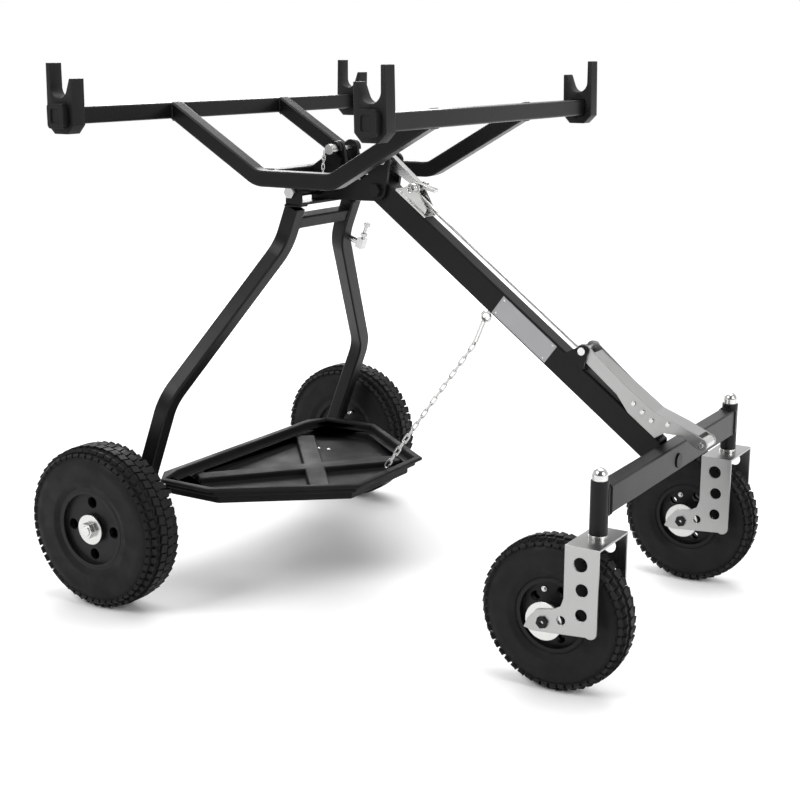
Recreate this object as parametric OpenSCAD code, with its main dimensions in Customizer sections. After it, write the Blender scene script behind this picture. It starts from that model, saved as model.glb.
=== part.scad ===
// One-person kart trolley: a tilting cradle with four forks on two splayed rear legs and a folding
// front leg with swivel casters. X points forward, Z up, the floor is at z = 0 and the origin lies
// under the middle of the footprint. Places along X are written from the rear axle.

/* [Wheels] */
// Radius of a rear wheel
rear_r = 130; // [125:1:134]
// Width of a rear tyre
rear_w = 76; // [70:1:80]
// Centre of a rear wheel to the middle plane
rear_y = 347; // [345:1:355]
// Radius of a caster wheel
caster_r = 110; // [106:1:112]
// Width of a caster tyre
caster_w = 54; // [48:1:58]

/* [Cradle] */
// Height of the rail centres above the floor
rail_z = 762; // [755:1:775]
// Distance between the rear and the front rail
rail_gap = 500; // [480:1:520]
// Half length of the rear rail
rear_rail_half = 396; // [390:1:410]
// Half length of the front rail
front_rail_half = 338; // [330:1:350]
// Radius of the kart tube that the forks carry
seat_r = 16; // [14:0.5:16]

/* [Frame] */
// Outer size of the square tubes
tube = 25; // [24:0.5:26]
// Wall of the square tubes
wall = 2; // [1.5:0.25:3]
// Height of the front leg tube
leg_h = 40; // [38:1:42]
// Width of the front leg tube
leg_w = 30; // [28:1:31]

/* [Tray] */
// Half width of the parts tray
tray_half = 243; // [230:1:245]
// Length of the parts tray
tray_len = 318; // [300:1:322]

/* [Hidden] */
$fn = 48;
black = [0.07, 0.07, 0.075];
plastic = [0.04, 0.04, 0.045];
zinc = [0.72, 0.72, 0.70];
alloy = [0.80, 0.80, 0.82];

mid_x = 364;            // from the rear axle to the middle of the footprint
clear = 0.06;           // running clearance on a pin's radius
rear_rail_x = -10;
front_rail_x = rear_rail_x + rail_gap;

tilt = [187, 638];      // cradle hinge, x and z
fold = [300, 641];      // front leg hinge
catch_at = [312, 686];  // catch pin of the leg latch
lock_at = [227, 703];   // cradle lock pin
bolt_r = 5;             // cradle hinge bolt and claw pin
fold_r = 6;             // front leg hinge bolt
lock_r = 4;

hub_z = 618;            // underside of the hub plate
hub_t = 4;
hub_half = 92;
hub_x = [176, 206];
arm_in = 16;            // inner face of a hub arm
arm_t = 6;
lug_in = 23;            // inner face of a cradle lug
lug_t = 6;

lean = atan2(tilt[0], hub_z - rear_r);   // the rear legs lean forward by this much
rear_leg_low = 272;     // leg centre to the middle plane, at the wheel
rear_leg_top = 80;      // and at the hub
bend_r = 70;

dip = 99;               // drop of the cradle tubes below the rails
dip_x = [165, 305];
cradle_y = 142;         // cradle tube to the middle plane
cap_wall = 4;           // end wall of a rail cap

leg_a = 36.9;           // the front leg's slope
cross_x = 798;          // caster crossbar and stems
cross_z = 277;
cross_h = 40;
stem_y = 251;
stem_r = 8;
head_r = 12.5;
head_z = [231, 305];
trail = 56;
fork_half = 47;         // caster fork, outer face to its middle
fork_t = 3;
crown_z = 222;
caster_axle_r = 6;
rear_axle_r = 8;

pivot_u = 420;          // pedal pivot, along the leg from its hinge
pivot_v = 43;           // and above the leg's middle line
rod_v = 33;             // rod, above the leg's middle line
pedal_r = 4;
tip = [641, 62];        // nose of the pedal
claw = [48, 44];        // claw pivot, in the leg's frame
claw_r = 3;
eye_u = 262;            // eye bolt, along the leg

tray_tube = [2, 150];
tray_tube_r = 10;
tray_z = 180;
tray_top_w = 14;        // width of the rolled rim

// ---- shared shapes ----

module place() translate([-mid_x, 0, 0]) children();

// a side view in X and Z becomes a plate from y0, t thick
module plate(y0, t) translate([0, y0 + t, 0]) rotate([90, 0, 0]) linear_extrude(t) children();

// round bar across the trolley, from y0 to y1
module cross_bar(at, r, y0, y1) translate([at[0], y1, at[1]]) rotate([90, 0, 0]) cylinder(r = r, h = y1 - y0);

module section(w, h, r) {
  square([w - 2 * r, h], center = true);
  square([w, h - 2 * r], center = true);
  for (x = [-1, 1], y = [-1, 1]) translate([x * (w / 2 - r), y * (h / 2 - r)]) circle(r);
}

module tube_section(w, h, t) {
  difference() {
    section(w, h, 3);
    section(w - 2 * t, h - 2 * t, 1.2);
  }
}

function heading(a, b) = atan2(b[1] - a[1], b[0] - a[0]);
function turn(p, i) = let (d = heading(p[i], p[i + 1]) - heading(p[i - 1], p[i]))
  d > 180 ? d - 360 : d < -180 ? d + 360 : d;
function cut(p, i, r) = i == 0 || i == len(p) - 1 ? 0 : r * tan(abs(turn(p, i)) / 2);

// square tube bent along the points p of a flat path, each bend of radius r
module bent_tube(p, r) {
  seam = 0.01;   // hairline between a straight stretch and a bend
  for (i = [0 : len(p) - 2])
    translate(p[i]) rotate(heading(p[i], p[i + 1])) translate([cut(p, i, r) + seam, 0, 0])
      rotate([90, 0, 90])
        linear_extrude(norm(p[i + 1] - p[i]) - cut(p, i, r) - cut(p, i + 1, r) - 2 * seam)
          tube_section(tube, tube, wall);
  for (i = [1 : len(p) - 2])
    let (a = heading(p[i - 1], p[i]), k = turn(p, i), s = sign(k))
      translate(p[i]) rotate(a) translate([-cut(p, i, r), s * r, 0])
        rotate(s > 0 ? -90 : 90 + k) rotate_extrude(angle = abs(k)) translate([r, 0])
          tube_section(tube, tube, wall);
}

module hex_nut(af, h) cylinder(r = af / sqrt(3), h = h, $fn = 6);

module on_leg() translate([fold[0], 0, fold[1]]) rotate([0, leg_a, 0]) children();

// ---- hub and rear legs ----

module hub_bracket() color(black) place() {
  translate([hub_x[0], -hub_half, hub_z]) cube([hub_x[1] - hub_x[0], 2 * hub_half, hub_t]);
  for (s = [-1, 1]) plate(s > 0 ? hub_half - hub_t : -hub_half, hub_t)
    difference() {
      union() {
        translate([hub_x[0], hub_z + hub_t]) square([hub_x[1] - hub_x[0], tilt[1] - hub_z - hub_t]);
        translate(tilt) intersection() {
          circle(tilt[0] - hub_x[0]);
          translate([hub_x[0] - tilt[0], 0]) square([hub_x[1] - hub_x[0], 30]);
        }
      }
      translate(tilt) circle(bolt_r + clear);
    }
}

module arm_side() {
  boss = [[tilt, 12], [fold, 17], [catch_at, 12], [lock_at, 13]];
  difference() {
    union() {
      for (b = boss) translate(b[0]) circle(b[1]);
      polygon([
        [hub_x[0], hub_z + hub_t], [hub_x[1], hub_z + hub_t], [298, 624], [317, 640], [324, 686],
        [308, 697], [296, 672], [270, 656], [246, 664], [239, 708], [215, 700], [196, 650], [176, 640]
      ]);
    }
    translate(tilt) circle(bolt_r + clear);
    translate(fold) circle(fold_r + clear);
    translate(catch_at) circle(bolt_r);
    translate(lock_at) circle(lock_r + clear);
    translate([150, hub_z - 20]) square([70, 20 + hub_t]);
  }
}

module hub_arms() color(black) place() for (s = [-1, 1])
  plate(s > 0 ? arm_in : -arm_in - arm_t, arm_t) arm_side();

module rear_leg(s) color(black) place() {
  top_u = (hub_z - rear_r) / cos(lean) - tube / 2 * tan(lean);
  path = [[-22, rear_leg_low], [208, rear_leg_low], [451, rear_leg_top], [top_u, rear_leg_top]];
  difference() {
    translate([0, 0, rear_r]) rotate([0, lean - 90, 0])
      mirror([0, s < 0 ? 1 : 0, 0]) bent_tube(path, bend_r);
    cross_bar([0, rear_r], rear_axle_r, -rear_y, rear_y);
    cross_bar(tray_tube, tray_tube_r, -rear_y, rear_y);
  }
}

module rear_leg_left() rear_leg(-1);
module rear_leg_right() rear_leg(1);

module spreader_bar() color(black) place() {
  z = 590;
  half = rear_leg_top - tube / 2;
  translate([(z - rear_r) * tan(lean), half, z]) rotate([0, lean, 0]) rotate([90, 0, 0])
    linear_extrude(2 * half) tube_section(20, 20, wall);
}

module tray_tube_bar() color(black) place() {
  half = rear_leg_low + tube / 2;
  difference() {
    cross_bar(tray_tube, tray_tube_r, -half, half);
    cross_bar(tray_tube, tray_tube_r - wall, -half - 1, half + 1);
  }
}

module stub_axles() color(zinc) place() for (s = [-1, 1])
  rotate([0, 0, s > 0 ? 0 : 180]) {
    cross_bar([0, rear_r], rear_axle_r, rear_leg_low - tube / 2 - 3, rear_y + 44);
    difference() {
      cross_bar([0, rear_r], 13, rear_leg_low + tube / 2, rear_y - 31);
      cross_bar([0, rear_r], rear_axle_r, rear_leg_low, rear_y);
    }
  }

module rear_axle_nuts() color(zinc) place() for (s = [-1, 1])
  rotate([0, 0, s > 0 ? 0 : 180]) translate([0, rear_y + 31, rear_r]) rotate([-90, 0, 0])
    difference() {
      union() {
        cylinder(r = 24, h = 2.5);
        translate([0, 0, 2.5]) hex_nut(22, 9);
      }
      translate([0, 0, -1]) cylinder(r = rear_axle_r, h = 14);
    }

// set screw stop clamped to the right leg
module leg_stop() color(zinc) place() translate([170, 92, 548]) rotate([0, lean, 0]) {
  translate([3.4, 0, 0]) rotate([0, 90, 0]) cylinder(r = 5, h = 18.6);
  translate([22, -7, -8]) cube([12, 14, 18]);
  translate([28, 0, 10]) cylinder(r = 3, h = 22);
  translate([28, 0, 14]) hex_nut(11, 5);
  translate([28, 0, 32]) hex_nut(11, 5);
}

// hinge bolt through the hub, with its head and nut
module through_bolt(at, r, af, half) {
  cross_bar(at, r, -half, half);
  translate([at[0], -half, at[1]]) rotate([90, 0, 0]) hex_nut(af, 7);
  translate([at[0], half, at[1]]) rotate([-90, 0, 0]) hex_nut(af, 8);
}

module cradle_bolt() color(zinc) place() through_bolt(tilt, bolt_r, 17, hub_half);
module leg_bolt() color(zinc) place() through_bolt(fold, fold_r, 19, arm_in + arm_t);
module catch_pin() color(zinc) place() cross_bar(catch_at, bolt_r, -arm_in - arm_t - 2, arm_in + arm_t + 2);

// ---- cradle ----

module rail(x, half) color(black) place() translate([x, half - cap_wall, rail_z])
  rotate([90, 0, 0]) linear_extrude(2 * (half - cap_wall)) tube_section(tube, tube, wall);

module rear_rail() rail(rear_rail_x, rear_rail_half);
module front_rail() rail(front_rail_x, front_rail_half);

module cradle_tube(s) color(black) place() {
  z = rail_z - dip;
  into = 4;    // how far a tube's end runs into its rail
  rear = [rear_rail_x + tube / 2, rail_z];
  front = [front_rail_x - tube / 2, rail_z];
  path = [
    rear + into * [-1, dip / (dip_x[0] - rear[0])], [dip_x[0], z], [dip_x[1], z],
    front + into * [1, dip / (front[0] - dip_x[1])]
  ];
  translate([0, s * cradle_y, 0]) rotate([90, 0, 0]) bent_tube(path, 40);
}

module cradle_tube_left() cradle_tube(-1);
module cradle_tube_right() cradle_tube(1);

cross_tube_x = tilt[0] - 15;

module cradle_cross_tube() color(black) place() {
  half = cradle_y - tube / 2;
  translate([cross_tube_x, half, rail_z - dip]) rotate([90, 0, 0]) linear_extrude(2 * half)
    tube_section(tube, tube, wall);
}

// plates that carry the cradle on its hinge bolt; the lock pin's slot is open to the front, along
// the arc that the pin takes as the cradle tilts
module lug_side() {
  boss_r = 10;
  reach = norm(lock_at - tilt);
  start = atan2(lock_at[1] - tilt[1], lock_at[0] - tilt[0]);
  difference() {
    union() {
      translate(tilt) circle(boss_r);
      translate(lock_at) circle(12);
      polygon([
        [tilt[0] - boss_r, tilt[1]], [tilt[0] + boss_r, tilt[1]], [236, 676], [239, 703],
        [218, 711], [206, 690], [cross_tube_x + tube / 2, 676], [cross_tube_x + 1, 676],
        [cross_tube_x + 1, 650]
      ]);
    }
    translate(tilt) circle(bolt_r + clear);
    translate([cross_tube_x - tube, rail_z - dip - tube / 2]) square([tube * 1.5, tube]);
    translate(lock_at) circle(lock_r + 0.6);
    translate(tilt) intersection() {
      difference() {
        circle(reach + lock_r + 0.6);
        circle(reach - lock_r - 0.6);
      }
      polygon([[0, 0], 120 * [cos(start), sin(start)], 120 * [cos(start - 30), sin(start - 30)]]);
    }
  }
}

module cradle_lugs() color(black) place() for (s = [-1, 1])
  plate(s > 0 ? lug_in : -lug_in - lug_t, lug_t) lug_side();

// fork seen from the side, its tall horn on the -X side
module fork_side() {
  seat_z = 25 + seat_r;
  difference() {
    polygon([
      [-25, -13], [-12, -26], [14, -26], [26, -13], [27, 53], [-seat_r, 53], [-seat_r, 75], [-23, 75]
    ]);
    translate([0, seat_z]) circle(seat_r);
    polygon([
      [-seat_r, seat_z], [-seat_r, 80], [24, 80], [21.5, 53], [seat_r * cos(20), seat_z - seat_r * sin(20)]
    ]);
    square(tube, center = true);
  }
}

fork_t_y = 24;
fork_in = 10;    // from a rail cap's face to its fork

module fork(x, half, s, flip) color(plastic) place()
  translate([x, s > 0 ? half - fork_in - fork_t_y : -half + fork_in, rail_z]) mirror([flip, 0, 0])
    plate(0, fork_t_y) fork_side();

module fork_rear_left() fork(rear_rail_x, rear_rail_half, -1, 0);
module fork_rear_right() fork(rear_rail_x, rear_rail_half, 1, 0);
module fork_front_left() fork(front_rail_x, front_rail_half, -1, 1);
module fork_front_right() fork(front_rail_x, front_rail_half, 1, 1);

// collar round each rail end, with a recessed plug
module rail_caps() color(plastic) place()
  for (e = [[rear_rail_x, rear_rail_half], [front_rail_x, front_rail_half]], s = [-1, 1])
    translate([e[0], s * e[1], rail_z]) rotate([0, 0, s > 0 ? 0 : 180])
      rotate([90, 0, 0]) difference() {
        linear_extrude(fork_in) section(32, 36, 6);
        translate([0, 0, cap_wall]) linear_extrude(fork_in) square(tube, center = true);
        translate([0, 0, -1]) linear_extrude(cap_wall - 1) section(18, 22, 4);
      }

module lock_pin() color(zinc) place() {
  cross_bar(lock_at, lock_r, -lug_in - lug_t - 8, lug_in + lug_t + 6);
  cross_bar(lock_at, 8, -lug_in - lug_t - 16, -lug_in - lug_t - 2);
}

// one oval link, wire radius w, lying in X and Z with its length along Z
module link(len, wid, w) rotate([90, 0, 0]) {
  straight = len - wid;
  for (s = [-1, 1]) {
    translate([s * (wid / 2 - w), straight / 2, 0]) rotate([90, 0, 0])
      cylinder(r = w, h = straight, $fn = 16);
    translate([0, s * straight / 2, 0]) rotate(s > 0 ? 0 : 180)
      rotate_extrude(angle = 180) translate([wid / 2 - w, 0]) circle(w, $fn = 16);
  }
}

// n links from one place to another, each turned a quarter from the last
module chain(from, to, n, wid, w) {
  d = to - from;
  pitch = norm(d) / n;
  for (i = [0 : n - 1]) translate(from + d * (i + 0.5) / n)
    rotate([0, acos(d[2] / norm(d)), atan2(d[1], d[0])]) rotate(i % 2 == 0 ? 0 : 90)
      link(pitch + 4 * w + 0.8, wid, w);
}

module lock_pin_chain() color(zinc) place()
  chain([lock_at[0] - 12, -lug_in - lug_t - 11, 700], [tilt[0] + 20, -lug_in - lug_t - 5, 664], 5, 6.4, 0.9);

// ---- front leg, in its own frame: X down the leg from the hinge, Z out of its top face ----

module front_leg() color(black) place() difference() {
  on_leg() translate([-18, 0, 0]) rotate([90, 0, 90]) linear_extrude(680) tube_section(leg_w, leg_h, 2.5);
  cross_bar(fold, fold_r + 4, -leg_w, leg_w);
  translate([cross_x - tube / 2, -leg_w, 0]) cube([100, 2 * leg_w, 500]);
  on_leg() translate([eye_u, 0, -leg_h]) cylinder(r = 3, h = leg_h);
}

module leg_bush() color(zinc) place() difference() {
  cross_bar(fold, fold_r + 4, -leg_w / 2, leg_w / 2);
  cross_bar(fold, fold_r + clear, -leg_w, leg_w);
}

module caster_crossbar() color(black) place() difference() {
  translate([cross_x, stem_y, cross_z]) rotate([90, 0, 0]) linear_extrude(2 * stem_y)
    tube_section(tube, cross_h, wall);
  for (s = [-1, 1]) translate([cross_x, s * stem_y, head_z[0]]) cylinder(r = head_r, h = 90);
  translate([cross_x + 5, 0, cross_z - 4]) rotate([0, 90, 0]) cylinder(r = 8, h = 20);
}

module head_tubes() color(black) place() for (s = [-1, 1])
  translate([cross_x, s * stem_y, head_z[0]]) difference() {
    cylinder(r = head_r, h = head_z[1] - head_z[0]);
    translate([0, 0, -1]) cylinder(r = stem_r + clear, h = 90);
  }

module crossbar_plug() color(plastic) place()
  translate([cross_x + tube / 2 - wall, 0, cross_z - 4]) rotate([0, 90, 0]) {
    cylinder(r = 8, h = wall);
    translate([0, 0, wall]) cylinder(r = 11, h = 2);
  }

module label_plate() color(alloy) place() on_leg()
  translate([eye_u + 8, -leg_w / 2 - 0.8, -leg_h / 2 + 3]) cube([114, 0.8, leg_h - 6]);

module eye_bolt() color(zinc) place() on_leg() translate([eye_u, 0, -leg_h / 2]) {
  translate([0, 0, -8]) cylinder(r = 3, h = 16);
  translate([0, 0, -3]) hex_nut(12, 3);
  translate([0, 0, -16]) rotate([90, 0, 0]) rotate_extrude() translate([7.5, 0]) circle(2.2);
}

// latch base screwed on the leg: a floor and two cheeks round the claw
module latch_body() color(zinc) place() on_leg() {
  floor_u = [24, 92];
  translate([floor_u[0], -leg_w / 2, leg_h / 2]) cube([floor_u[1] - floor_u[0], leg_w, 3]);
  for (s = [-1, 1]) plate(s > 0 ? 9 : -12, 3) difference() {
    union() {
      translate(claw) circle(9);
      polygon([[28, leg_h / 2 + 3], [86, leg_h / 2 + 3], [84, 32], claw + [9, 0], claw - [9, 0]]);
    }
    translate(claw) circle(claw_r);
  }
}

// the claw lies over the catch pin; it is open below and on the side where the pin leaves as the
// leg folds
module latch_claw() color(zinc) place() {
  d = catch_at - fold;
  pin = [d[0] * cos(leg_a) - d[1] * sin(leg_a), d[0] * sin(leg_a) + d[1] * cos(leg_a)];
  gap = bolt_r + 0.6;
  way = norm(pin) + gap + 0.3;   // the pin's way out, from the leg's hinge
  on_leg() plate(-6, 12) difference() {
    union() {
      translate(claw) circle(8);
      polygon([
        pin + [-12, 1.5], pin + [-8, 1.5], pin + [-gap, 1.5], pin + [gap + 0.8, 1.5],
        pin + [gap + 0.8, -7], claw + [-7.8, -2], [claw[0] - 6, rod_v], [claw[0] + 6, rod_v],
        claw + [7.8, -2], claw + [8, 5], claw + [30, 14], claw + [28, 19], claw + [0, 8],
        pin + [4, 11.5], pin + [-5, 11], pin + [-11, 6.5]
      ]);
    }
    translate(claw) circle(claw_r + clear);
    translate(pin) circle(gap);
    intersection() {
      circle(way);
      translate(pin - [40, 40]) square([40, 80]);
    }
  }
}

module claw_pin() color(zinc) place() on_leg() {
  cross_bar(claw, claw_r, -12, 12);
  for (s = [-1, 1]) cross_bar(claw, 5, s > 0 ? 12 : -14, s > 0 ? 14 : -12);
}

// push rod: a forked end round the pedal's cross pin, and a blunt end at the claw
module latch_rod() color(zinc) place() on_leg() {
  end_u = pivot_u - 14;
  translate([98, 0, rod_v]) rotate([0, 90, 0]) cylinder(r = 2, h = end_u - 98);
  difference() {
    translate([end_u, -6, rod_v - 5]) cube([20, 12, 10]);
    translate([pivot_u - 3.4, -10, rod_v - 8]) cube([20, 20, 16]);
  }
}

module rod_sleeve() color(zinc) place() on_leg() translate([0, 0, rod_v]) rotate([0, 90, 0]) {
  translate([0, 0, 60]) cylinder(r = 5, h = 38);
  translate([0, 0, claw[0] + 7.2]) cylinder(r = 2.5, h = 53 - claw[0]);
}

module pedal_ears() color(black) place() on_leg() {
  translate([pivot_u - 18, -23, leg_h / 2]) cube([36, 46, 3]);
  for (s = [-1, 1]) plate(s > 0 ? 19 : -23, 4) difference() {
    union() {
      translate([pivot_u, pivot_v]) circle(9);
      polygon([
        [pivot_u - 18, leg_h / 2 + 3], [pivot_u + 18, leg_h / 2 + 3], [pivot_u + 9, pivot_v],
        [pivot_u - 9, pivot_v]
      ]);
    }
    translate([pivot_u, pivot_v]) circle(pedal_r);
  }
}

module pedal_pin() color(zinc) place() on_leg() {
  cross_bar([pivot_u, pivot_v], pedal_r, -23, 23);
  for (s = [-1, 1]) cross_bar([pivot_u, pivot_v], 6, s > 0 ? 23 : -26, s > 0 ? 26 : -23);
}

// foot link: a channel hung on the ears, reaching past the crossbar
module pedal_link() color(zinc) place() on_leg() {
  for (s = [-1, 1]) plate(s > 0 ? 15.5 : -18.5, 3) difference() {
    union() {
      translate([pivot_u, pivot_v]) circle(10);
      translate([pivot_u, rod_v]) circle(6);
      polygon([
        [pivot_u - 6, rod_v], [pivot_u + 6, rod_v - 1], [500, 29], [530, 20], [584, 20], [590, 36],
        [612, 52], tip - [0, 9],
        tip + [0, 9], [600, 62], [560, 50], [500, 49], [pivot_u, pivot_v + 10]
      ]);
      translate(tip) circle(9);
    }
    translate([pivot_u, pivot_v]) circle(pedal_r + clear);
    translate(tip) circle(4);
  }
  plate(-15.5, 31) polygon([
    [pivot_u + 14, pivot_v + 5], [500, 46], [560, 47], [600, 59], tip + [-12, 4], tip + [-12, 7],
    [600, 62], [560, 50], [500, 49], [pivot_u + 14, pivot_v + 8]
  ]);
  cross_bar([pivot_u, rod_v], 3, -15.5, 15.5);
}

module pedal_nose() color(zinc) place() on_leg() {
  cross_bar(tip, 8.5, -15, 15);
  cross_bar(tip, 4, -21, 21);
}

module pedal_rivets() color(zinc) place() on_leg()
  for (u = [528, 546, 564, 586], s = [-1, 1])
    cross_bar([u, u < 570 ? 37 : 50], 3.5, s > 0 ? 18.5 : -20.5, s > 0 ? 20.5 : -18.5);

// ---- casters ----

module at_caster(s) place() translate([cross_x, s * stem_y, 0]) children();

// folded sheet fork: a crown and two L-shaped cheeks with lightening holes; the foot ends in a point
module cheek_side() {
  difference() {
    union() {
      polygon([
        [-26, crown_z], [-26, 150], [-30, 138], [-42, 131], [-66, 126], [-78, 112], [-84, 98],
        [-70, 95], [-29, 98.5], [13, 102], [13, 110], [23, 110], [23, crown_z]
      ]);
      translate([13, 110]) circle(10);
    }
    for (h = [[-3, 201, 10], [0, 166, 9], [0, 131, 8.5], [-29, 118, 6.5]])
      translate([h[0], h[1]]) circle(h[2]);
    translate([-trail, caster_r]) circle(caster_axle_r);
  }
}

module caster_fork(s) color(zinc) at_caster(s) {
  for (k = [-1, 1]) plate(k > 0 ? fork_half - fork_t : -fork_half, fork_t) cheek_side();
  difference() {
    translate([-26, -fork_half, crown_z]) cube([49, 2 * fork_half, fork_t]);
    translate([0, 0, crown_z - 1]) cylinder(r = stem_r, h = 10);
  }
}

module caster_fork_left() caster_fork(-1);
module caster_fork_right() caster_fork(1);

module caster_stem(s) color(zinc) at_caster(s) {
  nut_z = head_z[1];
  translate([0, 0, crown_z - 6]) cylinder(r = stem_r, h = nut_z - crown_z + 12);
  translate([0, 0, crown_z - 6]) hex_nut(24, 6);
  difference() {
    translate([0, 0, crown_z + fork_t]) cylinder(r = 13, h = head_z[0] - crown_z - fork_t - 0.3);
    translate([0, 0, crown_z]) cylinder(r = stem_r, h = 20);
  }
  difference() {
    union() {
      translate([0, 0, nut_z + 0.3]) cylinder(r = 10.5, h = 7);
      translate([0, 0, nut_z + 7.3]) intersection() {
        sphere(10.5);
        translate([0, 0, 10]) cube(21, center = true);
      }
    }
    translate([0, 0, nut_z]) cylinder(r = stem_r, h = 6);
  }
}

module caster_stem_left() caster_stem(-1);
module caster_stem_right() caster_stem(1);

module caster_axle(s) color(zinc) at_caster(s) {
  at = [-trail, caster_r];
  cross_bar(at, caster_axle_r, -fork_half - 1, fork_half + 1);
  for (k = [-1, 1]) difference() {
    union() {
      cross_bar(at, 10, k > 0 ? 32.3 : -fork_half + fork_t, k > 0 ? fork_half - fork_t : -32.3);
      cross_bar(at, 27, k > 0 ? 41 : -fork_half + fork_t, k > 0 ? fork_half - fork_t : -41);
    }
    cross_bar(at, caster_axle_r, -60, 60);
  }
}

module caster_axle_left() caster_axle(-1);
module caster_axle_right() caster_axle(1);

// half section of a tyre: round tread, sidewalls, and the bead inside
module tyre_section(r, w, bead) {
  difference() {
    union() {
      translate([bead, -w / 2 + 6]) square([r - bead - 5, w - 12]);
      translate([bead + 6, -w / 2]) square([r - bead - 20, w]);
      for (k = [-1, 1]) translate([r - 14, k * (w / 2 - 14)]) circle(14);
      translate([r - 14, -w / 2 + 14]) square([14, w - 28]);
      for (k = [-1, 1]) translate([bead + 6, k * (w / 2 - 6)]) circle(6);
    }
    translate([bead - 1, -w / 2 + 14]) square([r - bead - 13, w - 28]);
  }
}

module wheel_at(s, y) rotate([0, 0, s > 0 ? 0 : 180]) rotate([-90, 0, 0]) children();

// rim: hub, dished disc and two flanges, turned round the axle
module rim_section(bead, w, hub_r, hub_half, bore, disc) {
  difference() {
    union() {
      translate([bore, -hub_half]) square([hub_r - bore, 2 * hub_half]);
      for (k = [-1, 1]) translate([hub_r - 1, k * disc - 4]) square([bead - hub_r - 1, 8]);
      translate([bead - 5, -w / 2 + 8]) square([5, w - 16]);
      for (k = [-1, 1]) translate([bead - 5, k > 0 ? w / 2 - 12 : -w / 2 + 6]) square([11, 6]);
    }
    for (k = [-1, 1]) translate([bead, k > 0 ? w / 2 - 6.5 : -w / 2 - 3.5]) square([20, 10]);
  }
}

module rim_holes(n, at, r) for (i = [0 : n - 1])
  rotate(i * 360 / n) translate([at, 0, -30]) cylinder(r = r, h = 60);

module caster_rim(s) color(plastic) at_caster(s) translate([-trail, 0, caster_r]) rotate([90, 0, 0])
  difference() {
    rotate_extrude() rim_section(52, caster_w, 18, 32, caster_axle_r + clear, 8);
    rim_holes(5, 35, 7);
  }

module caster_rim_left() caster_rim(-1);
module caster_rim_right() caster_rim(1);

module caster_tyre(s) color(plastic) at_caster(s) translate([-trail, 0, caster_r]) rotate([90, 0, 0])
  rotate_extrude($fn = 96) tyre_section(caster_r, caster_w, 52);

module caster_tyre_left() caster_tyre(-1);
module caster_tyre_right() caster_tyre(1);

// ---- rear wheels ----

module rear_rim(s) color(plastic) place() translate([0, s * rear_y, rear_r]) rotate([90, 0, 0])
  difference() {
    rotate_extrude() rim_section(62, rear_w, 22, 30.7, rear_axle_r + clear, 21);
    rim_holes(4, 42, 9);
  }

module rear_rim_left() rear_rim(-1);
module rear_rim_right() rear_rim(1);

module rear_tyre(s) color(plastic) place() translate([0, s * rear_y, rear_r]) rotate([90, 0, 0])
  rotate_extrude($fn = 96) tyre_section(rear_r, rear_w, 62);

module rear_tyre_left() rear_tyre(-1);
module rear_tyre_right() rear_tyre(1);

// ---- tray ----

// plan of the tray, drawn in by d from its rim: chamfered corners, wide at the back
function tray_plan(d) = let (h = tray_half - d, f = tray_len - d, k = 0.45 * d, b = 40 + k, g = 97 - k)
  [[d, -h + b], [28, -h], [127, -h], [f, -g], [f, g], [127, h], [28, h], [d, h - b]];

module tray() color(plastic) place() translate([-2, 0, 0]) {
  depth = 30;
  sheet = 3;
  step_d = 26;
  difference() {
    union() {
      translate([0, 0, tray_z - 6]) linear_extrude(6) polygon(tray_plan(0));
      translate([0, 0, tray_z - 16]) linear_extrude(16) polygon(tray_plan(tray_top_w - sheet));
      translate([0, 0, tray_z - depth]) linear_extrude(depth) polygon(tray_plan(step_d - sheet));
    }
    translate([0, 0, tray_z - 13]) linear_extrude(20) polygon(tray_plan(tray_top_w));
    difference() {
      translate([0, 0, tray_z - depth + sheet]) linear_extrude(40) polygon(tray_plan(step_d));
      for (s = [-1, 1]) translate([160, 0, tray_z - depth]) rotate(s * 50)
        translate([-200, -17, 0]) cube([400, 34, 15]);
    }
  }
}

module tray_clips() color(black) place() for (s = [-1, 1])
  translate([0, s * 150 - 12, 0]) {
    difference() {
      cross_bar(tray_tube, tray_tube_r + 3, 0, 24);
      translate([0, -1, 0]) cross_bar(tray_tube, tray_tube_r + clear, 0, 26);
      translate([tray_tube[0] - 20, -1, tray_tube[1] + 8]) cube([40, 26, 20]);
    }
    translate([tray_tube[0] + tray_tube_r + 0.5, 0, tray_z - 33]) cube([40, 24, 3]);
  }

chain_low = [304, 0, 185];
chain_top = [468, 0, 410];
hook_end = [485.9, 0, 452.2];   // the hook's upper wire, inside the eye

module tray_chain() color(zinc) place() chain(chain_low, chain_top, 19, 9, 1.3);

module snap_hook() color(zinc) place() {
  wire = 1.7;
  low = chain_top - [0.6, 0, 1.4];
  d = hook_end - low;
  translate((low + hook_end) / 2) rotate([0, atan2(d[0], d[2]), 0]) rotate(90)
    link(norm(d) + 2 * wire, 15, wire);
}

hub_bracket();
hub_arms();
rear_leg_left();
rear_leg_right();
spreader_bar();
tray_tube_bar();
stub_axles();
rear_axle_nuts();
leg_stop();
cradle_bolt();
leg_bolt();
catch_pin();
rear_rail();
front_rail();
cradle_tube_left();
cradle_tube_right();
cradle_cross_tube();
cradle_lugs();
fork_rear_left();
fork_rear_right();
fork_front_left();
fork_front_right();
rail_caps();
lock_pin();
lock_pin_chain();
front_leg();
leg_bush();
caster_crossbar();
head_tubes();
crossbar_plug();
label_plate();
eye_bolt();
latch_body();
latch_claw();
claw_pin();
latch_rod();
rod_sleeve();
pedal_ears();
pedal_pin();
pedal_link();
pedal_nose();
pedal_rivets();
caster_fork_left();
caster_fork_right();
caster_stem_left();
caster_stem_right();
caster_axle_left();
caster_axle_right();
caster_rim_left();
caster_rim_right();
caster_tyre_left();
caster_tyre_right();
rear_rim_left();
rear_rim_right();
rear_tyre_left();
rear_tyre_right();
tray();
tray_clips();
tray_chain();
snap_hook();
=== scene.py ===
import bmesh, bpy, math
from mathutils import Matrix, Vector


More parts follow.
